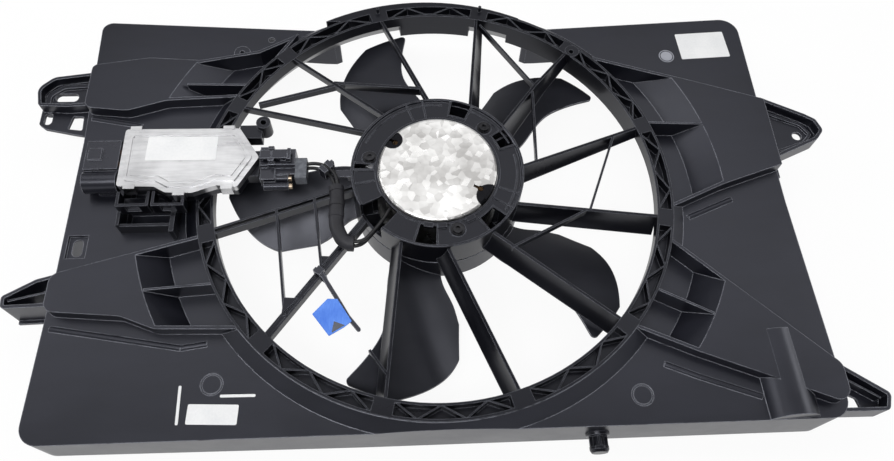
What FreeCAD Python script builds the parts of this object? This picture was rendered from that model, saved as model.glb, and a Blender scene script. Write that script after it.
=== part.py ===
"""Radiator cooling fan: shroud, brushed motor, five-blade impeller and speed control module.

Frame: millimetres, +Z along the fan axis towards the motor side, origin on the axis in
the plane that faces the radiator. +X runs along the long side of the shroud.
"""
import math
import os

import FreeCAD
import Part
from FreeCAD import Vector

os.makedirs("parts", exist_ok=True)

# Driving dimensions of the shroud
PANEL_TOP = 50.0
WALL = 3.0
X_LEFT = -328.4
X_RIGHT = 322.4
Y_NEAR = -219.0
CORNER_FAR = 14.0
CORNER_NEAR = 16.0
WING_TOP = 62.0
POCKET_FLOOR = 42.0
POCKET_BEND = 240.0
FLARE_FOOT = 226.0
FLARE_TOP = 61.0

# Driving dimensions of the ring, the vanes and the motor mount
RING_IN = 199.3
RING_OUT = 214.0
RING_TOP = 62.4
RING_LOW = 32.0
RING_STEP = 50.5
CAN_R = 52.3
MOUNT_OUT = CAN_R + 23.7
MOUNT_TOP = 88.0
MOUNT_LOW = 58.5
MOUNT_WEB = 86.0
MOUNT_WEB_T = 2.5
VANE_TOP_HUB = 84.0
VANE_DEPTH = 20.0
VANE_SWEEP = 8.0
VANE_T = 2.8

# Driving dimensions of the motor
CAN_T = 1.5
CAN_TOP = 90.0
CAN_LOW = 34.0
CAN_GAP = 0.5
SHAFT_R = 4.0
SHAFT_TOP = 87.2
SHAFT_LOW = 13.6
CIRCLIP_Z = 14.9
BEARING_R = 9.0
RUN_FIT = 0.03
SCREW_CIRCLE = CAN_R + 8.7
SCREW_ANGLES = (167.0, -76.0, 45.0)
WIRE_ANGLE = -142.0

# Driving dimensions of the impeller
HUB_R = 76.0
HUB_T = 3.0
HUB_TOP = 56.5
HUB_LOW = 22.0
TIP_R = 193.5
BLADE_T = 2.6
BLADE_ANGLES = (-84.0, -17.0, 65.0, 129.0, 196.5)

# Driving dimensions of the control module and its plug
MODULE_LOW = 66.0
MODULE_SEAM = 79.0
COVER_TOP = 84.0
LEAD_R = 1.6
SLEEVE_R = 6.2


def polar(r, angle, z=0.0):
    a = math.radians(angle)
    return Vector(r * math.cos(a), r * math.sin(a), z)


def box(x0, x1, y0, y1, z0, z1):
    return Part.makeBox(x1 - x0, y1 - y0, z1 - z0, Vector(x0, y0, z0))


def rod(r, z0, z1, x=0.0, y=0.0):
    return Part.makeCylinder(r, z1 - z0, Vector(x, y, z0))


def tube(r_out, r_in, z0, z1, x=0.0, y=0.0):
    return rod(r_out, z0, z1, x, y).cut(rod(r_in, z0 - 1.0, z1 + 1.0, x, y))


def pin(r, start, end):
    a = Vector(*start)
    b = Vector(*end)
    return Part.makeCylinder(r, (b - a).Length, a, b - a)


def turned(points, angle=360.0):
    """Solid of revolution about Z from (radius, height) points."""
    loop = [Vector(r, 0.0, z) for r, z in points]
    face = Part.Face(Part.makePolygon(loop + [loop[0]]))
    return face.revolve(Vector(0, 0, 0), Vector(0, 0, 1), angle)


def spun(shape, angle):
    copy = shape.copy()
    copy.rotate(Vector(0, 0, 0), Vector(0, 0, 1), angle)
    return copy


def ring_of(shape, count, start=0.0):
    return [spun(shape, start + 360.0 * i / count) for i in range(count)]


def fuse(shapes):
    first = shapes[0]
    if len(shapes) == 1:
        return first
    return first.multiFuse(shapes[1:]).removeSplitter()


def inset(points, distance):
    """Polygon (counter-clockwise) with every side moved inwards by a distance."""
    count = len(points)
    moved = []
    for i in range(count):
        p = Vector(points[i - 1][0], points[i - 1][1], 0)
        q = Vector(points[i][0], points[i][1], 0)
        r = Vector(points[(i + 1) % count][0], points[(i + 1) % count][1], 0)
        d1 = (q - p).normalize()
        d2 = (r - q).normalize()
        n1 = Vector(-d1.y, d1.x, 0)
        n2 = Vector(-d2.y, d2.x, 0)
        share = 1.0 + n1.dot(n2)
        corner = q + (n1 + n2) * (distance / share)
        moved.append((corner.x, corner.y))
    return moved


def outline(points, radii):
    """Closed wire through 2-D points with the given corner radii (0 keeps the corner)."""
    count = len(points)
    enters = []
    leaves = []
    middles = []
    for i in range(count):
        p = Vector(points[i - 1][0], points[i - 1][1], 0)
        q = Vector(points[i][0], points[i][1], 0)
        r = Vector(points[(i + 1) % count][0], points[(i + 1) % count][1], 0)
        a = (p - q).normalize()
        b = (r - q).normalize()
        radius = radii[i] if isinstance(radii, (list, tuple)) else radii
        half = 0.5 * math.acos(max(-1.0, min(1.0, a.dot(b))))
        if radius < 0.05 or half > 1.55:
            enters.append(q)
            leaves.append(q)
            middles.append(None)
            continue
        reach = radius / math.tan(half)
        centre = q + (a + b).normalize() * (radius / math.sin(half))
        enters.append(q + a * reach)
        leaves.append(q + b * reach)
        middles.append(centre + (q - centre).normalize() * radius)
    edges = []
    for i in range(count):
        if middles[i] is not None:
            edges.append(Part.Arc(enters[i], middles[i], leaves[i]).toShape())
        after = enters[(i + 1) % count]
        if (after - leaves[i]).Length > 1e-4:
            edges.append(Part.LineSegment(leaves[i], after).toShape())
    return Part.Wire(edges)


def prism(points, z0, z1, radii=0.0):
    face = Part.Face(outline(points, radii))
    face.translate(Vector(0, 0, z0))
    return face.extrude(Vector(0, 0, z1 - z0))


def bar(start, end, width, z0, z1):
    """Upright straight rib between two points in plan."""
    a = Vector(start[0], start[1], 0)
    b = Vector(end[0], end[1], 0)
    d = (b - a).normalize()
    n = Vector(-d.y, d.x, 0) * (width / 2.0)
    corners = [a - n, b - n, b + n, a + n]
    return prism([(c.x, c.y) for c in corners], z0, z1)


def slope_bar(start, end, width, depth):
    """Straight rib whose top edge runs between two points in space."""
    a = Vector(*start)
    b = Vector(*end)
    flat = Vector(b.x - a.x, b.y - a.y, 0).normalize()
    n = Vector(-flat.y, flat.x, 0) * (width / 2.0)
    drop = Vector(0, 0, -depth)
    face = Part.Face(Part.makePolygon([a - n, b - n, b - n + drop, a - n + drop, a - n]))
    return face.extrude(n * 2.0)


def save(name, shape):
    shape.exportStep("parts/" + name + ".step")
    state = "ok" if shape.isValid() else "INVALID"
    print(name, len(shape.Solids), "solids", round(shape.Volume, 1), "mm3", state)


# Shroud panel: one hollow moulding made as an outer form less an inner form

PANEL = [(X_LEFT - 3.8, Y_NEAR), (X_RIGHT + 6.0, Y_NEAR), (X_RIGHT, -20.0), (X_RIGHT + 0.6, 202.5),
         (112.0, 190.5), (-112.0, 192.0), (X_LEFT - 5.6, 206.4), (X_LEFT, 60.0), (X_LEFT, -70.0)]
PANEL_RADII = [CORNER_NEAR, CORNER_NEAR, 0.0, CORNER_FAR + 4.0, 0.0, 0.0, CORNER_FAR - 4.0, 0.0, 0.0]

# Each wing: plan outline, corner radii, radius where its platform starts
WING_RT = [(199.0, -34.0), (263.0, -6.0), (340.0, 20.0), (340.0, 83.0), (257.0, 112.0), (160.0, 144.0)]
RADII_RT = [0.0, 12.0, 0.0, 0.0, 10.0, 0.0]
WING_RB = [(140.0, -128.0), (161.0, -142.0), (209.0, -164.0), (256.0, -183.0),
           (X_RIGHT + 3.0, -212.0), (X_RIGHT + 3.0, -178.0), (190.0, -46.0)]
RADII_RB = [0.0, 8.0, 8.0, 8.0, 10.0, 12.0, 0.0]
WING_LB = [(X_LEFT + 1.0, -80.0), (X_LEFT + 1.0, -113.0), (-264.0, -119.0), (-235.0, -131.0),
           (-140.0, -134.0), (-185.0, -40.0)]
RADII_LB = [10.0, 9.0, 14.0, 14.0, 0.0, 0.0]
WING_LT = [(X_LEFT - 1.0, 142.0), (X_LEFT - 1.0, 92.0), (-289.0, 87.0), (-254.0, 98.0),
           (-180.0, 101.0), (-133.0, 178.0), (-171.0, 157.0), (-226.0, 146.0), (-276.0, 150.0)]
RADII_LT = [6.0, 8.0, 24.0, 24.0, 0.0, 0.0, 14.0, 20.0, 14.0]
WINGS = [(WING_RT, RADII_RT, 263.0), (WING_RB, RADII_RB, 264.0), (WING_LB, RADII_LB, 267.0),
         (WING_LT, RADII_LT, 271.0)]


def pocket_form(outer_r, drop):
    """Revolved cutter: pocket floor near the ring, then a slope up to the platform."""
    rise = WING_TOP - POCKET_FLOOR
    bend = outer_r - (POCKET_BEND - 217.0)
    run = outer_r - bend
    length = math.hypot(rise, run)
    above = 12.0
    top_r = outer_r + above * run / rise + drop * length / rise
    foot_r = bend + drop * (length - rise) / run
    floor = POCKET_FLOOR - drop
    top = WING_TOP + above
    return turned([(RING_IN - 8.0, floor), (foot_r, floor), (top_r, top), (RING_IN - 8.0, top)])


def shroud_mass(o):
    """Outer form for o = 0, or the space inside the walls for o = WALL."""
    low = -2.0 if o > 0.0 else 0.0
    radii = [max(0.0, r - o) for r in PANEL_RADII]
    plan = inset(PANEL, o)
    body = [prism(plan, low, PANEL_TOP - o, radii)]
    flare = turned([(150.0, low), (FLARE_FOOT, low), (FLARE_FOOT, PANEL_TOP - 1.4 * o),
                    (RING_OUT, FLARE_TOP - 1.4 * o), (150.0, FLARE_TOP - 1.4 * o)])
    body.append(flare.common(prism(plan, low, 80.0, radii)))
    for points, corners, _ in WINGS:
        wing = prism(inset(points, o), low, WING_TOP - o, [max(0.0, r - o) for r in corners])
        body.append(wing.common(prism(plan, low, 80.0, radii)))
    solid = fuse(body)
    cutters = []
    for points, _, top_r in WINGS:
        hollow = prism(inset(points, WALL - o), POCKET_FLOOR - 5.0, 80.0)
        cutters.append(hollow.common(pocket_form(top_r, o)))
    return solid.cut(fuse(cutters))


panel = shroud_mass(0.0).cut(shroud_mass(WALL))

# Ribs that stand in the four pockets beside the ring
POCKET_RIBS = [((192.0, 64.0), (256.0, 61.0)), ((171.0, -101.0), (228.0, -131.0)),
               ((-248.0, -96.0), (-190.0, -92.0)), ((-236.0, 117.0), (-176.0, 115.0))]
for start, end in POCKET_RIBS:
    panel = panel.fuse(bar(start, end, 2.0, POCKET_FLOOR - 1.0, WING_TOP))

# Half-round bulge over the lower right corner and its wing, hollow below
BULGE_FOOT = Vector(281.0, Y_NEAR + 1.0, PANEL_TOP - 8.0)
bulge = Part.makeCylinder(22.0, 72.0, BULGE_FOOT, Vector(-0.04, 1, 0))
panel = panel.fuse(bulge.common(box(240.0, 320.0, Y_NEAR, -140.0, PANEL_TOP - 1.0, 80.0)))
panel = panel.cut(Part.makeCylinder(19.0, 66.0, BULGE_FOOT + Vector(0, 3, 0), Vector(-0.04, 1, 0)))

# Raised beads that stiffen the flat panel
BEADS = [((228.0, -34.0), (272.0, -16.0)), ((182.0, -170.0), (210.0, -182.0)),
         ((210.0, -182.0), (258.0, -200.0)), ((-324.0, -124.0), (-215.0, -144.0)),
         ((-215.0, -144.0), (-194.0, -141.0)), ((-325.0, 87.0), (-277.0, 77.0))]
for start, end in BEADS:
    bead = pin(2.6, (start[0], start[1], PANEL_TOP - 0.8), (end[0], end[1], PANEL_TOP - 0.8))
    panel = panel.fuse(bead)

# Flat corner details: a square recess with a slot, a round boss, a drain hole, gate marks
panel = panel.fuse(box(-326.0, -304.0, -62.0, -36.0, PANEL_TOP - 5.0, PANEL_TOP - 0.5))
panel = panel.cut(box(-324.0, -307.0, -60.0, -38.0, PANEL_TOP - 3.0, PANEL_TOP + 1.0))
slot = prism([(-320.0, -57.0), (-311.5, -57.0), (-311.5, -41.0), (-320.0, -41.0)],
             PANEL_TOP - 9.0, PANEL_TOP, 4.0)
panel = panel.cut(slot)
panel = panel.fuse(tube(8.0, 2.2, PANEL_TOP - 8.0, PANEL_TOP + 1.6, -190.0, 164.0))
panel = panel.cut(rod(2.2, PANEL_TOP - 9.0, PANEL_TOP + 3.0, -190.0, 164.0))
panel = panel.cut(rod(3.2, PANEL_TOP - 9.0, PANEL_TOP + 3.0, -162.0, 181.0))
for x, y in ((-187.0, -175.0), (160.0, -195.0)):
    panel = panel.cut(tube(9.0, 7.6, PANEL_TOP - 0.7, PANEL_TOP + 1.0, x, y))

# Sunken tray in the panel below the control module
panel = panel.fuse(box(-279.0, -231.0, -37.0, 33.0, PANEL_TOP - 13.0, PANEL_TOP - 1.0))
panel = panel.cut(box(-276.0, -234.0, -34.0, 30.0, PANEL_TOP - 10.5, 60.0))
for y in (-13.0, 9.0):
    panel = panel.fuse(box(-277.0, -233.0, y - 1.0, y + 1.0, PANEL_TOP - 11.0, PANEL_TOP - 3.0))

# The skirt gets shallower towards the left end
taper = prism([(X_LEFT - 20.0, -2.0), (-70.0, -2.0), (-70.0, 0.0), (X_LEFT - 20.0, 12.0)], -240.0, 230.0)
taper.rotate(Vector(0, 0, 0), Vector(1, 0, 0), 90.0)
panel = panel.cut(taper)

# Ribs on the radiator side
UNDER_RIBS = [((-329.0, 150.0), (-250.0, 150.0)), ((-328.0, -160.0), (-222.0, -160.0)),
              ((320.5, 150.0), (250.0, 150.0)), ((-270.0, 200.0), (-270.0, 120.0)),
              ((-262.0, -216.0), (-262.0, -136.0)), ((262.0, 196.0), (262.0, 120.0)),
              ((-326.5, 60.0), (-270.0, 60.0)), ((321.0, -60.0), (250.0, -60.0))]
for start, end in UNDER_RIBS:
    panel = panel.fuse(bar(start, end, 2.0, PANEL_TOP - 12.0, PANEL_TOP - WALL + 0.5))

panel = panel.cut(rod(RING_OUT, -5.0, 90.0))
panel = panel.removeSplitter()
shroud_panel = Part.makeCompound([s for s in panel.Solids if s.Volume > 500.0])
if len(shroud_panel.Solids) == 1:
    shroud_panel = shroud_panel.Solids[0]

# Stator vanes: broad guide vanes, thin struts and tie ribs in the ring opening

def top_at(r, hub_top=VANE_TOP_HUB):
    share = (RING_IN - r) / (RING_IN - MOUNT_OUT)
    return RING_TOP + share * (hub_top - RING_TOP)


def vane_section(x, y, nx, ny, share):
    """Cambered section: the lower edge trails clockwise of the top edge."""
    top = top_at(math.hypot(x, y))
    half = VANE_T / 2.0
    crest = Vector(x, y, top)
    side = Vector(nx, ny, 0) * share
    foot = crest + side * VANE_SWEEP + Vector(0, 0, -VANE_DEPTH * share)
    belly = crest + side * (0.28 * VANE_SWEEP) + Vector(0, 0, -0.52 * VANE_DEPTH * share)
    side.normalize()
    upper = Part.Arc(crest + side * half, belly + side * half, foot + side * half).toShape()
    lower = Part.Arc(foot - side * half, belly - side * half, crest - side * half).toShape()
    end = Part.LineSegment(foot + side * half, foot - side * half).toShape()
    start = Part.LineSegment(crest - side * half, crest + side * half).toShape()
    return Part.Wire([upper, end, lower, start])


def broad_vane(hub, ring, hub_share, ring_share):
    """Guide vane whose depth and sweep taper from the hub share to the ring share."""
    a = Vector(hub[0], hub[1], 0)
    b = Vector(ring[0], ring[1], 0)
    run = (b - a).normalize()
    nx, ny = run.y, -run.x
    a = a - run * 6.0
    b = b + run * 8.0
    wires = [vane_section(a.x, a.y, nx, ny, hub_share), vane_section(b.x, b.y, nx, ny, ring_share)]
    return Part.makeLoft(wires, True, True)


def strut(inner, outer, width, depth, hub_top=VANE_TOP_HUB):
    start = (inner[0], inner[1], top_at(math.hypot(*inner), hub_top))
    end = (outer[0], outer[1], top_at(math.hypot(*outer), hub_top))
    return slope_bar(start, end, width, depth)


BROAD = [((33.0, 76.0), (46.0, 190.0), 1.0, 0.8), ((63.0, 51.0), (97.0, 101.0), 1.0, 0.8),
         ((97.0, 101.0), (137.0, 153.0), 0.8, 0.45), ((76.0, 4.0), (195.0, 59.0), 0.85, 0.42),
         ((70.0, -34.0), (195.0, -38.0), 0.9, 1.0), ((42.0, -59.0), (147.0, -133.0), 1.0, 1.0),
         ((7.0, -77.0), (57.0, -188.0), 1.0, 1.0), ((-33.0, -69.0), (-47.0, -190.0), 1.0, 1.0),
         ((-18.0, 94.5), (-87.0, 107.0), 1.0, 0.85)]
TIES = [((89.0, 12.0), (94.0, 93.0)), ((133.0, -36.0), (166.0, 44.0)),
        ((60.0, -74.0), (130.0, -36.0)), ((50.0, 186.0), (97.0, 101.0))]
HARNESS_HUB_TOP = 73.0
annulus = tube(RING_IN, MOUNT_OUT, 20.0, 100.0)
vanes = [broad_vane(*plan) for plan in BROAD]
for inner, outer in TIES:
    vanes.append(strut(inner, outer, 2.0, 7.0))
for inner, outer in (((-60.0, 42.0), (-196.0, 95.0)), ((-46.0, 60.0), (-150.0, 160.0)),
                     ((-5.0, 74.0), (-53.0, 201.0)), ((-85.0, 106.5), (-166.0, 91.0))):
    vanes.append(strut(inner, outer, 3.0, 7.0))
HARNESS_FOOT = Vector(-62.0, -37.5, 0.0)
HARNESS_END = Vector(-145.0, -142.0, 0.0)
STRUT_DIR = (HARNESS_END - HARNESS_FOOT).normalize()
for offset in (-2.4, 2.4):
    vanes.append(strut((-72.0, -8.0 + offset), (-200.0, -44.2 + offset), 1.8, 10.0, HARNESS_HUB_TOP))
    side = Vector(-STRUT_DIR.y, STRUT_DIR.x, 0.0) * offset
    vanes.append(strut(((HARNESS_FOOT + side).x, (HARNESS_FOOT + side).y),
                       ((HARNESS_END + side).x, (HARNESS_END + side).y), 1.6, 9.0, HARNESS_HUB_TOP))
vanes.append(strut((HARNESS_FOOT.x, HARNESS_FOOT.y), (HARNESS_END.x, HARNESS_END.y), 5.6, 7.0,
                   HARNESS_HUB_TOP - 1.6))
for inner, outer in (((-142.0, -25.0), (-130.0, -123.0)), ((-109.0, -16.0), (-100.5, -85.5))):
    vanes.append(strut(inner, outer, 2.2, 8.0, HARNESS_HUB_TOP))
vanes.append(strut((-60.0, -156.0), (-46.0, -176.0), 2.2, 7.0))
for x, y in ((-128.0, -121.0), (-98.5, -84.0)):
    vanes.append(prism([(x - 4.0, y - 2.0), (x + 9.0, y + 12.0), (x - 3.0, y + 13.0)], 58.0, 66.0))
stator_vanes = fuse(vanes).common(annulus)

# Angles at which struts meet the ring, used to leave solid roots in its top
ROOTS = sorted([76.1, 48.2, 16.9, -11.0, -42.0, -73.0, -103.9, -135.7, -167.5, 154.0, 133.6, 104.7])

# Fan ring with a truss of open pockets between the strut roots
FLARE_RUN = 11.5
ring_body = turned([(RING_IN + FLARE_RUN, RING_LOW), (RING_OUT, RING_LOW), (RING_OUT, RING_TOP),
                    (RING_IN, RING_TOP), (RING_IN, RING_STEP)])


def sector(r_in, r_out, a0, a1, z0, z1):
    """Block between two radii and two angles."""
    am = 0.5 * (a0 + a1)
    edges = [Part.Arc(polar(r_in, a0), polar(r_in, am), polar(r_in, a1)).toShape(),
             Part.LineSegment(polar(r_in, a1), polar(r_out, a1)).toShape(),
             Part.Arc(polar(r_out, a1), polar(r_out, am), polar(r_out, a0)).toShape(),
             Part.LineSegment(polar(r_out, a0), polar(r_in, a0)).toShape()]
    face = Part.Face(Part.Wire(edges))
    face.translate(Vector(0, 0, z0))
    return face.extrude(Vector(0, 0, z1 - z0))


cuts = []
zigzag = []
for i, root in enumerate(ROOTS):
    after = ROOTS[(i + 1) % len(ROOTS)] + (360.0 if i == len(ROOTS) - 1 else 0.0)
    start = root + 2.4
    end = after - 2.4
    cuts.append(sector(RING_IN + 2.2, RING_OUT - 2.2, start, end, RING_STEP + 2.0, RING_TOP + 1.0))
    count = max(2, int(round((end - start) / 5.5)))
    step = (end - start) / count
    for k in range(count):
        low = RING_IN + 1.5 if k % 2 == 0 else RING_OUT - 1.5
        high = RING_OUT - 1.5 if k % 2 == 0 else RING_IN + 1.5
        p = polar(low, start + k * step)
        q = polar(high, start + (k + 1) * step)
        zigzag.append(bar((p.x, p.y), (q.x, q.y), 1.5, RING_STEP + 1.0, RING_TOP - 0.8))
fan_ring = ring_body.cut(Part.makeCompound(cuts)).multiFuse(zigzag).removeSplitter()
boss = rod(7.0, RING_STEP + 1.0, RING_TOP + 1.0, 140.5, 150.5).common(tube(RING_OUT, RING_IN, 40.0, 70.0))
fan_ring = fan_ring.fuse(boss).cut(rod(2.4, RING_STEP + 3.0, 70.0, 139.5, 149.5))

# Deeper collars under the ring beside the far struts, and a thicker rim where it overhangs the panel
for a0, a1, low in ((19.0, 67.0, 39.5), (78.5, 99.0, 36.0)):
    collar = sector(RING_IN, RING_IN + 2.4, a0, a1, low, RING_STEP + 0.5)
    foot_r = RING_IN + FLARE_RUN * (RING_STEP - low) / (RING_STEP - RING_LOW)
    fan_ring = fan_ring.fuse(collar).fuse(sector(RING_IN + 1.0, foot_r + 1.5, a0, a1, low, low + 2.4))
rim = rod(RING_OUT, RING_LOW, RING_TOP, -6.5, 4.0).cut(rod(RING_OUT - 0.5, 0.0, 90.0))
fan_ring = fan_ring.fuse(rim.common(box(-150.0, 90.0, 193.5, 230.0, 0.0, 90.0)))
for angle in (76.1, 104.7):
    p = polar(RING_OUT - 2.5, angle)
    fan_ring = fan_ring.fuse(rod(1.6, RING_TOP - 2.0, RING_TOP + 6.0, p.x, p.y))

# Motor mount ring: deep outer skirt, flat web, stepped top details
mount = turned([(MOUNT_OUT - 2.5, MOUNT_LOW), (MOUNT_OUT, MOUNT_LOW), (MOUNT_OUT, MOUNT_TOP - 0.6),
                (MOUNT_OUT - 0.6, MOUNT_TOP), (MOUNT_OUT - 2.2, MOUNT_TOP), (MOUNT_OUT - 3.0, MOUNT_WEB),
                (CAN_R + 2.6, MOUNT_WEB), (CAN_R + 2.6, MOUNT_WEB + 1.2), (CAN_R + CAN_GAP, MOUNT_WEB + 1.2),
                (CAN_R + CAN_GAP, MOUNT_WEB - MOUNT_WEB_T), (MOUNT_OUT - 2.5, MOUNT_WEB - MOUNT_WEB_T)])
NOTCHES = [(78.0, 64.0, 6.7, 2.0), (34.0, 20.0, 7.7, 3.0), (-93.0, -107.0, 3.7, 2.0),
           (-40.0, -55.0, 7.7, 2.0), (178.0, 174.0, 4.7, 3.0)]
for a1, a0, in_gap, out_gap in NOTCHES:
    r0 = CAN_R + in_gap
    r1 = MOUNT_OUT - out_gap
    mount = mount.fuse(sector(r0 - 1.4, min(r1 + 1.4, MOUNT_OUT - 1.0), a0 - 1.4, a1 + 1.4,
                              MOUNT_WEB - 0.5, MOUNT_WEB + 1.4))
    mount = mount.cut(sector(r0, r1, a0, a1, MOUNT_WEB - 5.0, MOUNT_TOP + 3.0))
for a0, a1 in ((22.0, 64.0), (85.0, 155.0), (-36.0, 12.0)):
    mount = mount.fuse(sector(MOUNT_OUT - 7.0, MOUNT_OUT - 5.6, a0, a1, MOUNT_WEB - 0.5, MOUNT_WEB + 0.9))
for angle in SCREW_ANGLES:
    p = polar(SCREW_CIRCLE, angle)
    mount = mount.fuse(rod(7.0, MOUNT_WEB - MOUNT_WEB_T, MOUNT_WEB + 0.6, p.x, p.y)
                       .cut(rod(CAN_R + CAN_GAP, 80.0, 92.0)))
    mount = mount.cut(rod(3.1, 80.0, 92.0, p.x, p.y))
for angle in (99.0, 111.0, -20.0, -32.0, 190.0):
    rib = bar((CAN_R + 3.7, 0.0), (MOUNT_OUT - 2.0, 0.0), 1.4, MOUNT_WEB - 0.5, MOUNT_WEB + 1.2)
    mount = mount.fuse(spun(rib, angle))
for angle in (-100.0, -88.0, -62.0):
    tab = box(CAN_R + 1.0, CAN_R + 5.5, -4.0, 4.0, MOUNT_WEB - 0.5, MOUNT_WEB + 2.4)
    mount = mount.fuse(spun(tab, angle))
mount = mount.cut(sector(CAN_R + 2.2, MOUNT_OUT + 4.0, WIRE_ANGLE - 11.0, WIRE_ANGLE + 11.0, 70.0, 92.0))
for angle in range(0, 360, 30):
    if abs((angle - WIRE_ANGLE + 180.0) % 360.0 - 180.0) > 16.0:
        rib = bar((CAN_R + 7.7, 0.0), (MOUNT_OUT - 1.5, 0.0), 1.8, MOUNT_LOW + 8.0,
                  MOUNT_WEB - MOUNT_WEB_T + 0.2)
        rib = spun(rib, float(angle))
        mount = mount.fuse(rib)
for angle in SCREW_ANGLES:
    lug_room = sector(CAN_R - 2.3, CAN_R + 16.7, -13.0, 13.0, MOUNT_LOW + 1.5, MOUNT_WEB - MOUNT_WEB_T)
    mount = mount.cut(spun(lug_room, angle))
motor_mount_ring = mount.removeSplitter()

# Mounting ears


def ear_tray(points, floor_z, rim_z, low_z, radii, rim=3.0):
    """Ear with a floor plate and a rim wall standing on its outer edge."""
    body = prism(points, low_z, rim_z, radii)
    inner = [max(0.0, r - rim) for r in radii]
    body = body.cut(prism(inset(points, rim), floor_z, rim_z + 5.0, inner))
    return body.cut(prism(inset(points, rim), low_z - 5.0, floor_z - rim, inner))


panel_form = prism(PANEL, -10.0, 100.0, PANEL_RADII)
IN_L = X_LEFT + 12.0
IN_R = X_RIGHT - 12.0
lt_points = [(IN_L, 144.5), (-370.0, 137.0), (-383.5, 124.0), (-379.0, 103.5), (-352.0, 101.5), (IN_L, 104.0)]
ear_lt = ear_tray(lt_points, 41.0, 50.0, 30.0, [0.0, 12.0, 12.0, 3.0, 0.0, 0.0])
step = prism([(IN_L, 135.0), (-362.0, 131.5), (-376.5, 121.5), (-375.5, 107.0), (IN_L, 107.0)],
             37.0, 44.0, [0.0, 10.0, 8.0, 2.0, 0.0])
step = step.cut(prism([(IN_L - 1.0, 130.5), (-361.0, 127.5), (-371.5, 119.0), (-371.0, 110.0),
                       (IN_L - 1.0, 110.5)], 41.0, 46.0, [0.0, 7.0, 6.0, 2.0, 0.0]))
ear_lt = ear_lt.fuse(step)
ear_lt = ear_lt.fuse(prism([(IN_L, 108.0), (-380.0, 108.0), (-380.0, 89.0), (-373.0, 83.5), (-344.0, 76.5),
                            (IN_L, 71.0)], 36.0, 39.0, [0.0, 1.0, 3.0, 3.0, 4.0, 0.0]))
ear_lt = ear_lt.cut(prism([(-369.0, 114.0), (-347.0, 114.0), (-347.0, 123.5), (-369.0, 123.5)],
                          20.0, 60.0, 4.7))
ear_lt = ear_lt.cut(prism([(-376.0, 88.5), (-368.5, 88.5), (-368.5, 102.0), (-376.0, 102.0)],
                          20.0, 60.0, 3.7))
ear_lt = ear_lt.cut(prism([(-352.0, 83.0), (-338.0, 81.0), (-339.0, 97.0), (-349.0, 98.0)],
                          20.0, 60.0, 1.5))
ear_upper_left = ear_lt.cut(panel_form)

lb_points = [(IN_L, -70.0), (-345.0, -78.0), (-371.0, -93.0), (-370.0, -104.0), (IN_L, -102.5)]
ear_lb = ear_tray(lb_points, 30.0, 48.0, 16.0, [0.0, 6.0, 4.0, 4.0, 0.0])
ear_lb = ear_lb.fuse(bar((IN_L, -84.0), (-367.0, -95.5), 1.8, 24.0, 44.0))
ear_lb = ear_lb.cut(prism([(-353.0, -99.0), (-341.0, -99.0), (-341.0, -91.5), (-351.0, -92.5)],
                          10.0, 60.0, 2.0))
ear_lb = ear_lb.fuse(bar((IN_L, -103.6), (-367.0, -105.0), 4.6, 16.0, 19.0))
ear_lower_left = ear_lb.cut(panel_form)

rb_points = [(IN_R, -213.5), (362.0, -214.0), (367.0, -200.0), (IN_R, -159.5)]
ear_rb = ear_tray(rb_points, 34.0, 48.0, 26.0, [0.0, 5.0, 5.0, 0.0])
ear_rb = ear_rb.fuse(bar((IN_R, -170.0), (359.5, -202.5), 1.6, 31.0, 44.0))
ear_rb = ear_rb.cut(prism([(332.0, -209.0), (346.0, -209.0), (344.0, -200.0), (332.0, -194.0)],
                          10.0, 60.0, 2.0))
ear_lower_right = ear_rb.cut(panel_form)

HOLE_X = 354.2
HOLE_Y = 55.2
rt_points = [(IN_R, 19.8), (337.0, 31.5), (367.0, 44.5), (376.0, 55.0), (371.5, 68.0), (362.0, 74.5),
             (IN_R, 101.5)]
ear_rt = ear_tray(rt_points, 46.0, 56.0, 40.0, [0.0, 8.0, 9.0, 7.0, 5.0, 8.0, 0.0], 3.2)
rt_step = [(IN_R, 29.0), (358.0, 45.0), (368.0, 55.0), (360.0, 68.0), (IN_R, 91.0)]
ridge = prism(rt_step, 45.0, 48.6, [0.0, 5.0, 4.0, 7.0, 0.0])
ridge = ridge.cut(prism(inset(rt_step, 2.6), 46.0, 52.0, [0.0, 2.0, 1.5, 4.0, 0.0]))
ear_rt = ear_rt.fuse(ridge)
ear_rt = ear_rt.cut(rod(4.6, 30.0, 60.0, HOLE_X, HOLE_Y))
ear_rt = ear_rt.fuse(box(X_RIGHT - 2.0, X_RIGHT + 5.0, 10.0, 26.0, 36.0, 44.0))
ear_upper_right = ear_rt.cut(panel_form)

# Locating peg on the near wall
PEG_X = 125.0
PEG_Z = 24.0


def peg_part(r0, r1, y0, y1):
    if r0 == r1:
        return Part.makeCylinder(r0, y0 - y1, Vector(PEG_X, y0, PEG_Z), Vector(0, -1, 0))
    return Part.makeCone(r0, r1, y0 - y1, Vector(PEG_X, y0, PEG_Z), Vector(0, -1, 0))


locating_peg = fuse([peg_part(10.0, 9.4, Y_NEAR, Y_NEAR - 2.6), peg_part(4.5, 4.5, Y_NEAR - 1.0, -230.5),
                     peg_part(8.0, 8.0, -230.0, -232.6), peg_part(8.0, 6.6, -232.6, -235.0),
                     box(PEG_X - 7.6, PEG_X + 7.6, -231.0, Y_NEAR - 1.0, PEG_Z - 0.9, PEG_Z + 0.9),
                     box(PEG_X - 0.9, PEG_X + 0.9, -231.0, Y_NEAR - 1.0, PEG_Z - 7.6, PEG_Z + 7.6)])

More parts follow.
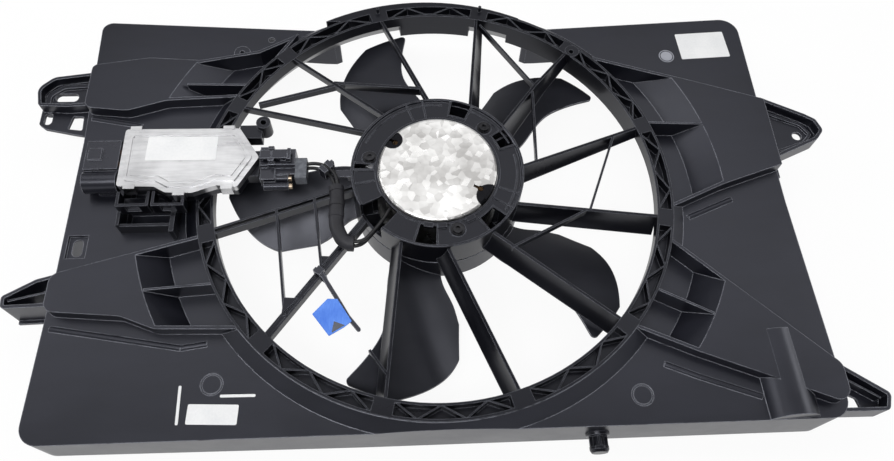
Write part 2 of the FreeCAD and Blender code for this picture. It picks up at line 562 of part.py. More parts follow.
# Motor: drawn steel can, closed end on the outside
can = turned([(0.0, CAN_TOP), (0.0, CAN_TOP - CAN_T), (CAN_R - CAN_T - 1.5, CAN_TOP - CAN_T),
              (CAN_R - CAN_T, CAN_TOP - CAN_T - 1.5), (CAN_R - CAN_T, CAN_LOW), (CAN_R, CAN_LOW),
              (CAN_R, CAN_TOP - 2.2), (CAN_R - 0.7, CAN_TOP - 0.7), (CAN_R - 2.2, CAN_TOP)])
can = can.fuse(tube(BEARING_R + 1.6, BEARING_R, CAN_TOP - 7.5, CAN_TOP - CAN_T + 0.2))
for x, y, turn in ((-37.0, 27.0, 54.0), (36.0, -22.0, 59.0)):
    hole = rod(2.6, 80.0, 95.0).fuse(box(-1.2, 1.2, 0.0, 6.5, 80.0, 95.0))
    hole.rotate(Vector(0, 0, 0), Vector(0, 0, 1), turn)
    hole.translate(Vector(x, y, 0))
    can = can.cut(hole)
wire_door = spun(box(40.0, 60.0, -5.0, 5.0, 74.0, 82.0), WIRE_ANGLE)
motor_can = can.cut(wire_door).removeSplitter()

MAGNET_IN = CAN_R - 8.7
magnet = sector(MAGNET_IN, CAN_R - CAN_T, -36.0, 36.0, 42.0, 71.0)
motor_magnets = Part.makeCompound(ring_of(magnet, 4, 45.0))

# Mounting bracket: steel ring pressed on the can with three lugs under the web
LUG_TOP = MOUNT_WEB - MOUNT_WEB_T
bracket = tube(CAN_R + 1.6, CAN_R, LUG_TOP - 12.0, LUG_TOP)
for angle in SCREW_ANGLES:
    lug = prism([(CAN_R + 0.5, -11.0), (CAN_R + 11.7, -7.5), (CAN_R + 16.5, 0.0), (CAN_R + 11.7, 7.5),
                 (CAN_R + 0.5, 11.0)],
                LUG_TOP - 2.0, LUG_TOP, [0.0, 4.0, 5.0, 4.0, 0.0])
    lug = lug.fuse(rod(5.0, LUG_TOP - 6.0, LUG_TOP, SCREW_CIRCLE, 0.0))
    bracket = bracket.fuse(spun(lug.cut(rod(CAN_R, 0.0, 100.0)), angle))
for angle in SCREW_ANGLES:
    p = polar(SCREW_CIRCLE, angle)
    bracket = bracket.cut(rod(2.6, 60.0, 92.0, p.x, p.y))
motor_bracket = bracket.cut(spun(box(40.0, 60.0, -6.0, 6.0, 70.0, 83.0), WIRE_ANGLE)).removeSplitter()

screws = []
for angle in SCREW_ANGLES:
    p = polar(SCREW_CIRCLE, angle)
    head = rod(4.6, MOUNT_WEB + 0.6, MOUNT_WEB + 3.4, p.x, p.y).fuse(
        rod(5.8, MOUNT_WEB + 0.6, MOUNT_WEB + 1.5, p.x, p.y))
    head = head.cut(prism([(p.x + 2.0 * math.cos(math.radians(60 * k)),
                            p.y + 2.0 * math.sin(math.radians(60 * k))) for k in range(6)],
                          MOUNT_WEB + 1.8, MOUNT_WEB + 4.0))
    screws.append(head.fuse(rod(2.5, LUG_TOP - 9.0, MOUNT_WEB + 0.8, p.x, p.y)))
motor_screws = Part.makeCompound(screws)

# End plate at the drive end with the front bearing seat
end_plate = turned([(BEARING_R, CAN_LOW - 5.0), (BEARING_R + 3.0, CAN_LOW - 5.0),
                    (BEARING_R + 4.0, CAN_LOW - 2.0), (CAN_R + 3.0, CAN_LOW - 2.0),
                    (CAN_R + 3.0, CAN_LOW), (BEARING_R, CAN_LOW)])
for cut in ring_of(rod(5.0, 25.0, 36.0, 30.0, 0.0), 6, 30.0):
    end_plate = end_plate.cut(cut)
motor_end_plate = end_plate

rear_bearing = tube(BEARING_R, SHAFT_R + RUN_FIT, CAN_TOP - 7.0, CAN_TOP - CAN_T)
front_bearing = tube(BEARING_R, SHAFT_R + RUN_FIT, CAN_LOW - 5.0, CAN_LOW + 1.5)

# Armature: slotted core, end windings, commutator and shaft
CORE_R = MAGNET_IN - 0.8
core = tube(CORE_R, SHAFT_R, 44.0, 68.0)
slot_cut = box(20.0, CORE_R - 3.0, -2.6, 2.6, 43.0, 69.0).fuse(
    box(CORE_R - 4.0, CORE_R + 2.0, -0.9, 0.9, 43.0, 69.0))
for cut in ring_of(slot_cut, 16):
    core = core.cut(cut)
armature_core = core
coil = box(21.0, CORE_R - 3.6, -2.1, 2.1, 41.0, 71.0)
end_turns = [turned([(14.0, 68.2), (34.0, 68.2), (38.5, 70.0), (37.0, 73.0), (30.0, 75.0), (16.0, 74.0)]),
             turned([(14.0, 43.8), (34.0, 43.8), (38.5, 42.0), (37.0, 39.5), (30.0, 38.0), (16.0, 39.0)])]
armature_windings = fuse(end_turns + ring_of(coil, 16))
commutator = tube(11.0, SHAFT_R, 75.4, 82.2)
for cut in ring_of(box(9.0, 12.0, -0.35, 0.35, 76.8, 83.0), 16):
    commutator = commutator.cut(cut)
commutator = commutator.fuse(tube(12.6, SHAFT_R, 75.4, 76.6))
shaft = rod(SHAFT_R, SHAFT_LOW, SHAFT_TOP)
shaft = shaft.cut(box(-5.0, 5.0, 3.2, 6.0, SHAFT_LOW - 1.0, 24.0))
shaft = shaft.cut(tube(6.0, SHAFT_R - 0.5, CIRCLIP_Z, CIRCLIP_Z + 1.0))
motor_shaft = shaft

# Brush card with two brush holders, brushes and springs
CARD_Z = 76.6
card = tube(CAN_R - CAN_T - 0.2, 14.5, CARD_Z, CARD_Z + 1.8)
for angle in (0.0, 180.0):
    guide = box(14.5, 30.0, -4.6, 4.6, CARD_Z, CARD_Z + 6.2)
    guide = guide.cut(box(14.0, 31.0, -3.4, 3.4, CARD_Z + 1.8, CARD_Z + 5.2))
    card = card.fuse(spun(guide, 30.0 + angle))
for angle in (90.0, 270.0):
    post = tube(4.2, 1.5, CARD_Z + 1.0, CARD_Z + 8.0, 38.0, 0.0)
    card = card.fuse(spun(post, angle))
terminal_block = spun(box(37.0, 47.5, -6.5, 6.5, CARD_Z, CARD_Z + 1.8), WIRE_ANGLE)
brush_card = card.fuse(terminal_block).removeSplitter()
brush = box(11.06, 24.0, -3.4, 3.4, CARD_Z + 1.8, CARD_Z + 5.2)
carbon_brushes = Part.makeCompound([spun(brush, 30.0), spun(brush, 210.0)])
brush_springs = []
for angle in (30.0, 210.0):
    for k in range(3):
        turn = Part.makeTorus(1.25, 0.4, Vector(24.5 + 2.0 * k, 0.0, CARD_Z + 3.5), Vector(1, 0, 0))
        brush_springs.append(spun(turn, angle))
brush_springs = Part.makeCompound(brush_springs)

# Impeller: hub cup, inner ribs and five cambered blades
hub = turned([(12.0, HUB_LOW), (HUB_R - 6.0, HUB_LOW), (HUB_R - 1.8, HUB_LOW + 1.8), (HUB_R, HUB_LOW + 6.0),
              (HUB_R, HUB_TOP), (HUB_R - HUB_T, HUB_TOP), (HUB_R - HUB_T, HUB_LOW + 6.5),
              (HUB_R - 7.0, HUB_LOW + HUB_T), (12.0, HUB_LOW + HUB_T)])
hub_rib = box(20.0, HUB_R - HUB_T + 0.5, -1.0, 1.0, HUB_LOW + 1.0, HUB_LOW + 5.0).fuse(
    box(60.0, HUB_R - HUB_T + 0.5, -1.0, 1.0, HUB_LOW + 1.0, HUB_TOP - 6.0))
hub = fuse([hub] + ring_of(hub_rib, 12, 8.0) + [tube(16.0, 12.0, HUB_LOW - 4.0, HUB_LOW + 5.0)])

# Blade plan: share of the span from hub to tip, and angle offset, for the leading and trailing edges
LEAD = [(-0.034, -5.0), (0.094, -3.5), (0.221, 0.3), (0.357, 1.6), (0.502, 2.2), (0.638, -0.4),
        (0.766, -4.5), (0.868, -9.5), (0.945, -14.5), (1.0, -18.5)]
TRAIL = [(1.0, -29.5), (0.962, -31.0), (0.919, -30.5), (0.715, -28.0), (0.562, -27.0), (0.221, -33.0),
         (-0.034, -37.0)]
MID_PLAN = -18.0


def blade_point(share, angle):
    return polar(HUB_R + share * (TIP_R - HUB_R), angle - MID_PLAN)


def blade_plan():
    """Prism over the blade's outline seen along the axis."""
    lead = [blade_point(*p) for p in LEAD]
    trail = [blade_point(*p) for p in TRAIL]
    lead_curve = Part.BSplineCurve()
    lead_curve.interpolate(lead)
    trail_curve = Part.BSplineCurve()
    trail_curve.interpolate(trail[2:])
    edges = [lead_curve.toShape(),
             Part.Arc(lead[-1], blade_point(1.0, -24.0), trail[0]).toShape(),
             Part.Arc(trail[0], blade_point(0.99, -30.6), trail[1]).toShape(),
             Part.LineSegment(trail[1], trail[2]).toShape(),
             trail_curve.toShape(),
             Part.LineSegment(trail[-1], lead[0]).toShape()]
    face = Part.Face(Part.Wire(edges))
    return face.extrude(Vector(0, 0, 80.0))


def blade_section(share, pitch, z_mid, camber, half):
    """Cambered strip across the blade at a share of the span from hub to tip."""
    x = HUB_R + share * (TIP_R - HUB_R)
    a = math.radians(pitch)
    along = Vector(0, -math.cos(a), math.sin(a))
    up = Vector(0, math.sin(a), math.cos(a))
    mid = Vector(x, 0, z_mid)
    t = BLADE_T / 2.0
    ends = [mid - along * half, mid + along * half]
    top = Part.Arc(ends[0] + up * t, mid + up * (camber + t), ends[1] + up * t).toShape()
    low = Part.Arc(ends[1] - up * t, mid + up * (camber - t), ends[0] - up * t).toShape()
    side_a = Part.LineSegment(ends[1] + up * t, ends[1] - up * t).toShape()
    side_b = Part.LineSegment(ends[0] - up * t, ends[0] + up * t).toShape()
    return Part.Wire([top, side_a, low, side_b])


SECTIONS = [(-0.204, 27.0, 34.5, 3.0, 34.0), (0.247, 23.0, 32.0, 4.0, 42.0),
            (0.672, 18.0, 29.0, 4.5, 50.0), (1.055, 13.0, 26.5, 4.0, 62.0)]
sheet = Part.makeLoft([blade_section(*s) for s in SECTIONS], True, False)
blade = sheet.common(blade_plan()).cut(rod(HUB_R - 1.5, 0.0, 80.0))
blade = blade.common(rod(TIP_R + 2.0, 10.0, HUB_TOP - 3.0))
blades = [spun(blade, angle + MID_PLAN) for angle in BLADE_ANGLES]
impeller = fuse([hub] + blades)

# Drive parts between shaft and hub
drive_plate = tube(12.0, SHAFT_R, HUB_LOW - 3.6, HUB_LOW + 2.0).fuse(
    tube(15.4, SHAFT_R, HUB_LOW - 6.0, HUB_LOW - 4.0)).fuse(tube(10.0, SHAFT_R, HUB_LOW - 4.5, HUB_LOW))
drive_plate = drive_plate.cut(box(-20.0, 20.0, 12.5, 20.0, 0.0, 30.0))
circlip = tube(6.4, SHAFT_R - 0.5, CIRCLIP_Z, CIRCLIP_Z + 1.0).cut(
    box(0.0, 8.0, -2.0, 2.0, 0.0, 30.0))
clip = box(HUB_R - HUB_T - 1.2, HUB_R - HUB_T - 0.15, -4.0, 4.0, 44.0, HUB_TOP + 1.0).fuse(
    box(HUB_R - HUB_T - 1.2, HUB_R - 0.4, -4.0, 4.0, HUB_TOP, HUB_TOP + 1.0))
balance_clip = spun(clip, 22.0)

# Control module on the left of the ring
COVER = [(-277.0, 51.0), (-277.0, -8.0), (-245.0, -9.0), (-235.0, -15.0), (-212.0, -16.0),
         (-192.0, -9.0), (-174.0, -11.0), (-157.0, 19.0), (-176.0, 50.0)]
base_plan = inset(COVER, 1.8)
base = prism(base_plan, MODULE_LOW, MODULE_SEAM, 2.0)
base = base.cut(prism(inset(COVER, 4.4), MODULE_LOW + 2.6, MODULE_SEAM + 1.0, 1.0))
module_gasket = prism(inset(COVER, 2.0), MODULE_SEAM, MODULE_SEAM + 1.0, 2.0).cut(
    prism(inset(COVER, 4.4), MODULE_SEAM - 1.0, MODULE_SEAM + 2.0, 1.0))
cover = prism(COVER, MODULE_SEAM - 3.0, COVER_TOP - 1.4, 3.0)
cover = cover.cut(prism(base_plan, MODULE_SEAM - 4.0, MODULE_SEAM + 1.0, 2.0))
cover = cover.cut(prism(inset(COVER, 3.4), MODULE_SEAM, COVER_TOP - 2.8, 1.5))
cover = cover.fuse(prism(inset(COVER, 5.0), COVER_TOP - 1.6, COVER_TOP, 4.0).cut(
    prism(inset(COVER, 8.0), COVER_TOP - 0.8, COVER_TOP + 1.0, 3.0)))
cover = cover.fuse(prism(inset(COVER, 10.0), COVER_TOP - 1.6, COVER_TOP - 0.1, 3.0))
CRIMPS = [(-268.0, 51.5), (-186.0, 50.6), (-266.0, -8.5), (-223.0, -15.8), (-183.0, -10.3)]
for x, y in CRIMPS:
    side = 1.0 if y > 0 else -1.0
    y0, y1 = sorted((y - side * 2.0, y + side * 2.4))
    cover = cover.fuse(box(x - 5.0, x + 5.0, y0, y1, MODULE_SEAM - 6.0, COVER_TOP - 1.0).cut(
        prism(base_plan, 60.0, MODULE_SEAM + 1.0, 2.0)))
module_cover = cover.removeSplitter()
header_box = prism([(-176.0, 4.0), (-158.0, 4.0), (-158.0, 30.0), (-176.0, 30.0)], 64.0, MODULE_SEAM - 3.5)
base = base.fuse(header_box.cut(prism(inset(COVER, 4.4), 60.0, 90.0, 1.0)))
bracket_arm = box(-178.0, -158.0, 44.0, 58.0, MODULE_LOW - 2.0, MODULE_SEAM - 3.5).fuse(
    rod(6.5, MODULE_LOW - 2.0, MODULE_SEAM + 1.0, -156.5, 58.0))
bracket_arm = bracket_arm.cut(rod(2.8, MODULE_LOW + 4.0, 90.0, -156.5, 58.0))
base = base.fuse(bracket_arm.cut(prism(inset(COVER, 4.4), 60.0, 90.0, 1.0)).cut(
    prism(inset(COVER, -0.2), MODULE_SEAM - 3.5, 90.0, 3.0)))
module_base = base.removeSplitter()
board = prism(inset(COVER, 5.2), 71.0, 72.6, 1.0)
for x, y in ((-268.0, 42.0), (-268.0, 0.0), (-182.0, 42.0), (-182.0, -2.0)):
    module_base = module_base.fuse(rod(3.0, MODULE_LOW + 1.0, 71.0, x, y))
    board = board.cut(rod(1.6, 70.0, 74.0, x, y))
circuit_board = board
capacitors = Part.makeCompound([pin(4.0, (-262.0 + 24.0 * k, 30.0, 76.8), (-244.0 + 24.0 * k, 30.0, 76.8))
                                for k in range(2)])
power_transistors = Part.makeCompound([box(-258.0 + 15.0 * k, -248.0 + 15.0 * k, 2.0, 14.0, 72.6, 76.8)
                                       for k in range(4)])

# Carrier frame that holds the module above the panel window; its inner wall stands clear of the flare
CARRIER_IN = -(FLARE_FOOT + 3.0)
carrier = [box(-279.2, -276.2, -37.0, 36.0, PANEL_TOP, MODULE_LOW),
           box(CARRIER_IN - 4.0, CARRIER_IN, -44.0, 36.0, PANEL_TOP, MODULE_LOW),
           box(-279.2, CARRIER_IN, -37.0, -34.2, PANEL_TOP, MODULE_LOW - 3.0),
           box(-279.2, CARRIER_IN, 33.0, 36.0, PANEL_TOP, MODULE_LOW)]
for x0 in (-278.0, CARRIER_IN - 19.0):
    frame_part = box(x0, x0 + 28.0, -24.0, -9.6, MODULE_LOW - 4.0, MODULE_SEAM - 3.2)
    frame_part = frame_part.cut(box(x0 + 2.5, x0 + 25.5, -21.5, -9.0, MODULE_LOW - 2.0, MODULE_SEAM))
    frame_part = frame_part.cut(box(x0 + 8.0, x0 + 20.0, -26.0, -20.0, MODULE_LOW, MODULE_SEAM - 5.0))
    carrier.append(frame_part.cut(prism(inset(COVER, -0.2), 60.0, 90.0, 3.0)))
module_carrier = fuse(carrier).cut(rod(RING_OUT + 0.3, 40.0, 64.0)).cut(shroud_panel)
module_carrier = module_carrier.cut(prism(inset(COVER, 1.8), MODULE_LOW, 90.0, 2.0)).cut(module_cover)

# Power inlet: square socket with two blades beside a round socket with a pin, facing outwards
inlet = box(-314.0, -284.0, 17.0, 47.0, 57.0, 71.0).fuse(pin(10.0, (-314.0, 9.0, 61.5), (-284.0, 9.0, 61.5)))
inlet = inlet.cut(box(-316.0, -291.0, 20.5, 44.0, 60.0, 68.5))
inlet = inlet.cut(pin(7.6, (-316.0, 9.0, 61.5), (-291.0, 9.0, 61.5)))
inlet = inlet.fuse(box(-311.0, -299.0, 26.0, 38.0, 70.0, 73.0))
inlet = inlet.fuse(box(-310.0, -296.0, 46.5, 49.5, 60.0, 67.0))
inlet = inlet.fuse(box(-286.0, -275.0, 4.0, 42.0, 58.5, 64.5))
inlet = inlet.fuse(box(-304.0, -288.0, 2.0, 42.0, PANEL_TOP, 58.5)).cut(
    pin(7.6, (-316.0, 9.0, 61.5), (-291.0, 9.0, 61.5)))
header_pins = [box(-306.0, -286.0, y - 3.2, y + 3.2, 63.6, 65.0).fuse(
    box(-287.0, -281.0, y - 1.6, y + 1.6, 60.6, 65.0)) for y in (26.0, 38.5)]
header_pins = Part.makeCompound(header_pins + [pin(1.8, (-306.0, 9.0, 61.5), (-281.0, 9.0, 61.5))])
power_inlet = inlet.cut(header_pins).cut(box(-279.2, -270.0, -30.0, 60.0, 50.0, 90.0)).removeSplitter()

# Motor plug: shell, hinged latch, sliding lock, seal and the two contact barrels
P0 = -156.6
PLUG_TOP = 80.0
LATCH_X = P0 + 10.5
LATCH_Z = PLUG_TOP + 4.0
plug = box(P0, P0 + 7.0, 12.0, 31.0, 63.0, PLUG_TOP)
plug = plug.fuse(box(P0, P0 + 13.0, 0.0, 12.0, 64.0, 76.0))
plug = plug.fuse(box(P0 + 6.0, P0 + 31.0, 12.5, 28.5, 66.0, PLUG_TOP))
for y, x1 in ((4.6, 24.0), (-3.4, 25.0)):
    plug = plug.fuse(pin(3.8, (P0 + 3.0, y, 69.0), (P0 + x1, y, 69.0)))
plug = plug.fuse(box(P0 + 10.0, P0 + 31.0, 6.0, 14.0, 66.0, 74.0))
for y in (14.5, 26.5):
    plug = plug.fuse(box(LATCH_X - 2.5, LATCH_X + 2.5, y - 1.4, y + 1.4, PLUG_TOP - 1.0, LATCH_Z + 2.2))
plug = plug.cut(pin(1.25, (LATCH_X, 5.0, LATCH_Z), (LATCH_X, 40.0, LATCH_Z)))
plug = plug.cut(box(P0 + 18.0, P0 + 27.0, 16.0, 25.0, PLUG_TOP - 3.5, PLUG_TOP + 1.0))
plug_latch = fuse([pin(1.2, (LATCH_X, 13.2, LATCH_Z), (LATCH_X, 27.8, LATCH_Z)),
                   box(P0 + 0.6, P0 + 27.5, 16.2, 24.8, LATCH_Z - 1.2, LATCH_Z + 1.0),
                   box(P0 + 0.6, P0 + 3.0, 16.2, 24.8, PLUG_TOP + 0.6, LATCH_Z + 1.0),
                   box(P0 + 24.5, P0 + 27.5, 15.0, 26.0, LATCH_Z - 0.6, LATCH_Z + 1.6)])
plug_lock = box(P0 + 18.2, P0 + 22.8, 16.15, 24.85, PLUG_TOP - 3.4, PLUG_TOP + 0.6)
plug_lock = plug_lock.fuse(box(P0 + 18.2, P0 + 19.6, 16.15, 24.85, PLUG_TOP, PLUG_TOP + 1.2))
barrel_caps = Part.makeCompound([pin(2.6, (P0 + x1, y, 69.0), (P0 + x1 + 3.0, y, 69.0))
                                 for y, x1 in ((4.6, 24.0), (-3.4, 25.0))]).cut(plug)
SEAL_X = P0 + 31.0

# Motor lead: two wires from the plug to the brush card, taped along the middle
LEAD_PATH = [Vector(SEAL_X - 3.0, 13.0, 73.0), Vector(-105.0, 13.5, 76.5), Vector(-90.0, 0.0, 80.5),
             Vector(-87.0, -26.0, 81.5), Vector(-88.5, -50.0, 81.0), Vector(-81.0, -66.5, 80.0),
             Vector(-66.0, -67.5, 79.5), Vector(-53.0, -52.0, 79.0), Vector(-42.0, -33.5, 78.6)]
LEAD_SHIFT = Vector(1.2, 1.2, 1.8)


def corner_radii(points):
    """Largest even bend at every corner: nine tenths of half the shorter run."""
    radii = []
    for i in range(1, len(points) - 1):
        a = points[i] - points[i - 1]
        b = points[i + 1] - points[i]
        turn = a.getAngle(b)
        radii.append(0.45 * min(a.Length, b.Length) / math.tan(turn / 2.0))
    return radii


def cord_wire(points, radii):
    edges = []
    last = points[0]
    for i in range(1, len(points) - 1):
        p = points[i]
        a = (points[i - 1] - p).normalize()
        b = (points[i + 1] - p).normalize()
        half = 0.5 * a.getAngle(b)
        reach = radii[i - 1] / math.tan(half)
        enter = p + a * reach
        leave = p + b * reach
        centre = p + (a + b).normalize() * (radii[i - 1] / math.sin(half))
        middle = centre + (p - centre).normalize() * radii[i - 1]
        edges.append(Part.LineSegment(last, enter).toShape())
        edges.append(Part.Arc(enter, middle, leave).toShape())
        last = leave
    edges.append(Part.LineSegment(last, points[-1]).toShape())
    return Part.Wire(edges)


def swept(points, radii, r_out, r_in=0.0):
    path = cord_wire(points, radii)
    heading = (points[1] - points[0]).normalize()
    solids = []
    for r in (r_out, r_in):
        if r > 0.0:
            ring = Part.Wire(Part.makeCircle(r, points[0], heading))
            solids.append(path.makePipeShell([ring], True, False))
    shape = solids[0] if len(solids) == 1 else solids[0].cut(solids[1])
    area = math.pi * (r_out * r_out - r_in * r_in)
    print("cord length", round(path.Length, 1), "volume ratio", round(shape.Volume / (area * path.Length), 4))
    return shape


bends = corner_radii(LEAD_PATH)
print("lead bend radii", [round(r, 1) for r in bends])
lead_positive = swept([p + LEAD_SHIFT for p in LEAD_PATH], bends, LEAD_R)
lead_negative = swept([p - LEAD_SHIFT for p in LEAD_PATH], bends, LEAD_R)
mid_a = LEAD_PATH[2] * 0.5 + LEAD_PATH[3] * 0.5
mid_b = LEAD_PATH[5] * 0.5 + LEAD_PATH[6] * 0.5
sleeve_path = [mid_a] + LEAD_PATH[3:6] + [mid_b]
lead_sleeve = swept(sleeve_path, bends[2:5], SLEEVE_R, 4.6)

# Seal boot at the back of the plug, moulded round both wires
boot = box(SEAL_X, SEAL_X + 10.0, -1.0, 20.5, 66.5, 79.0)
boot = boot.makeFillet(2.0, [e for e in boot.Edges if abs(e.tangentAt(e.FirstParameter).x) > 0.9])
plug_seal = boot.cut(lead_positive).cut(lead_negative)
plug = plug.cut(lead_positive).cut(lead_negative)

# Harness clip: an open collar round the wires on an arm from the motor mount
CLIP_AT = (LEAD_PATH[1] + LEAD_PATH[2]) * 0.5
collar = box(-4.0, 4.0, -5.8, 5.8, -6.4, 6.4).cut(box(-5.0, 5.0, -4.1, 4.1, -5.0, 5.0))
collar = collar.cut(box(-5.0, 5.0, -1.2, 1.2, 0.0, 8.0))
collar = collar.fuse(box(-1.5, 1.5, 5.6, 8.0, -3.0, 6.4))
collar.rotate(Vector(0, 0, 0), Vector(0, 0, 1), -43.0)
collar.translate(CLIP_AT)
arm = box(CLIP_AT.x - 4.0, -70.0, CLIP_AT.y - 3.5, CLIP_AT.y + 3.5, CLIP_AT.z - 8.4, CLIP_AT.z - 6.2)
arm = arm.fuse(box(-80.0, -70.0, CLIP_AT.y - 3.5, CLIP_AT.y + 3.5, CLIP_AT.z - 14.0, CLIP_AT.z - 6.2))
harness_clip = collar.fuse(arm.cut(rod(MOUNT_OUT, 40.0, 100.0)))

# Cable tie round the harness strut, with its long tail and a marker flag on it
TIE_DOWN = 64.0
tie_at = HARNESS_FOOT + STRUT_DIR * TIE_DOWN
tie_top = top_at(tie_at.Length, HARNESS_HUB_TOP) + 0.5
band = box(-1.8, 1.8, -5.9, 5.9, tie_top - 11.8, tie_top + 1.0)
band = band.cut(box(-3.0, 3.0, -4.9, 4.9, tie_top - 10.8, tie_top))
band = band.fuse(box(-3.4, 3.4, -3.2, 3.2, tie_top + 0.5, tie_top + 5.0))
band.rotate(Vector(0, 0, 0), Vector(0, 0, 1), math.degrees(math.atan2(STRUT_DIR.y, STRUT_DIR.x)))
band.translate(Vector(tie_at.x, tie_at.y, 0.0))
TAIL = [(-101.0, -88.0), (-94.5, -99.0), (-85.0, -115.0), (-77.0, -129.0), (-68.5, -140.0)]
strap = []
for i in range(len(TAIL) - 1):
    strap.append(bar(TAIL[i], TAIL[i + 1], 3.6, tie_top + 2.4, tie_top + 3.5))
    strap.append(rod(1.8, tie_top + 2.4, tie_top + 3.5, TAIL[i + 1][0], TAIL[i + 1][1]))
cable_tie = fuse([band] + strap)
TAG = [(-94.0, -113.0), (-106.0, -126.0), (-92.0, -145.0), (-80.0, -138.0), (-74.0, -133.0), (-86.0, -113.5)]
identification_tag = prism(TAG, tie_top + 3.5, tie_top + 4.3, 0.6)

PARTS = {
    "shroud_panel": shroud_panel,
    "fan_ring": fan_ring,
    "stator_vanes": stator_vanes,
    "motor_mount_ring": motor_mount_ring,
    "ear_upper_left": ear_upper_left,
    "ear_lower_left": ear_lower_left,
    "ear_upper_right": ear_upper_right,
    "ear_lower_right": ear_lower_right,
    "locating_peg": locating_peg,
    "motor_can": motor_can,
    "motor_magnets": motor_magnets,
    "motor_bracket": motor_bracket,
    "motor_screws": motor_screws,
    "motor_end_plate": motor_end_plate,
    "rear_bearing": rear_bearing,
    "front_bearing": front_bearing,
    "brush_card": brush_card,
    "carbon_brushes": carbon_brushes,
    "brush_springs": brush_springs,
    "armature_core": armature_core,
    "armature_windings": armature_windings,
    "commutator": commutator,
    "motor_shaft": motor_shaft,
    "impeller": impeller,
    "drive_plate": drive_plate,
    "shaft_circlip": circlip,
    "balance_clip": balance_clip,
    "module_base": module_base,
    "module_cover": module_cover,
    "module_gasket": module_gasket,
    "module_carrier": module_carrier,
    "circuit_board": circuit_board,
    "capacitors": capacitors,
    "power_transistors": power_transistors,
    "power_inlet": power_inlet,
    "inlet_blades": header_pins,
    "motor_plug": plug,
    "plug_latch": plug_latch,
    "plug_lock": plug_lock,
    "plug_seal": plug_seal,
    "plug_barrel_ends": barrel_caps,
    "lead_positive": lead_positive,
    "lead_negative": lead_negative,
    "lead_sleeve": lead_sleeve,
    "harness_clip": harness_clip,
    "cable_tie": cable_tie,
    "identification_tag": identification_tag,
}
for part_name, part_shape in PARTS.items():
    save(part_name, part_shape)
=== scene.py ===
# %% [markdown]
# # Radiator fan: finishes, stickers, light and camera
#
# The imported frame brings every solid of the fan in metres. This notebook gives each one a
# procedural finish, adds the thin pieces that sit on the solids, such as blank stickers, paint
# strokes and tape, and then sets up the light and the camera.

# %% Load the frame
import math

import bpy
from mathutils import Matrix, Vector


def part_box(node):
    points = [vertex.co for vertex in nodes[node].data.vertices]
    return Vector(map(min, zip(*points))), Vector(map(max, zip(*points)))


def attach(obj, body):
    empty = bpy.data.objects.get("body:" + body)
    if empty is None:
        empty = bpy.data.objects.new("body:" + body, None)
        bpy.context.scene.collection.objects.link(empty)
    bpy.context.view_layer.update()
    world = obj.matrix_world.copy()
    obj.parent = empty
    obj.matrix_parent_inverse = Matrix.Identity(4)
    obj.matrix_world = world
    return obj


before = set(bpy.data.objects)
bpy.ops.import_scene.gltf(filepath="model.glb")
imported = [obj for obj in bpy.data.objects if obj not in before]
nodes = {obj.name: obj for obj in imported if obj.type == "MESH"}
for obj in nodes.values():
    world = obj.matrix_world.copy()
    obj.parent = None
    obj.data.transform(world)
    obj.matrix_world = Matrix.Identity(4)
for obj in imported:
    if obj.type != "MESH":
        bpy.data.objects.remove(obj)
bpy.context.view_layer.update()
MM = 0.001
print("nodes loaded:", len(nodes))

# %% [markdown]
# ## Shader formulas as Python expressions
#
# A finish is easier to read as a formula than as a list of links. `Sock` wraps one socket and
# turns `1 - mask` or `dust * 0.3` into Math nodes, and a graph's `node` method makes all others.
# A Mix node has sockets for each kind of data, so the ones for colour are named here.


# %% Shader sockets
MIX_FACTOR, MIX_LOW, MIX_HIGH, MIX_RESULT = 0, 6, 7, 2


class Sock:
    """One output socket, as a value in a formula."""

    def __init__(self, graph, socket):
        self.graph = graph
        self.socket = socket

    def _math(self, operation, first, second):
        return self.graph.node("ShaderNodeMath", {0: first, 1: second}, operation=operation)

    def __add__(self, other):
        return self._math("ADD", self, other)

    def __sub__(self, other):
        return self._math("SUBTRACT", self, other)

    def __rsub__(self, other):
        return self._math("SUBTRACT", other, self)

    def __mul__(self, other):
        return self._math("MULTIPLY", self, other)

    def above(self, level, width):
        """0 below the level and 1 above it, with a soft step of the given width."""
        sockets = {"Value": self, "From Min": level - width / 2, "From Max": level + width / 2}
        return self.graph.node("ShaderNodeMapRange", sockets, interpolation_type="SMOOTHSTEP")

    def blend(self, low, high):
        """Colour from low to high by this value."""
        sockets = {MIX_FACTOR: self, MIX_LOW: low, MIX_HIGH: high}
        return self.graph.node("ShaderNodeMix", sockets, MIX_RESULT, data_type="RGBA")


# %% [markdown]
# ## One class for all finishes
#
# `Graph` adds nodes to any node tree, so the world can use it too. `Finish` is the graph of one
# material. Patterns read Object coordinates, because each piece keeps its place in its mesh, so a
# pattern stays put when the piece moves. Even values are set on the shader, and only what changes
# over the surface is linked.


# %% Graph and finish
BEVEL_SAMPLES = 4
SOFT_RIM = 0.5 * MM


class Graph:
    """Adds nodes to a node tree."""

    def __init__(self, tree):
        self.tree = tree

    def node(self, kind, sockets=None, output=0, **settings):
        """Make a node, set or link its sockets, and give one of its outputs."""
        made = self.tree.nodes.new(kind)
        for key, value in settings.items():
            setattr(made, key, value)
        for key, value in (sockets or {}).items():
            if isinstance(value, Sock):
                self.tree.links.new(value.socket, made.inputs[key])
            elif isinstance(value, tuple) and made.inputs[key].type == "RGBA":
                made.inputs[key].default_value = (*value, 1.0)
            else:
                made.inputs[key].default_value = value
        return Sock(self, made.outputs[output])


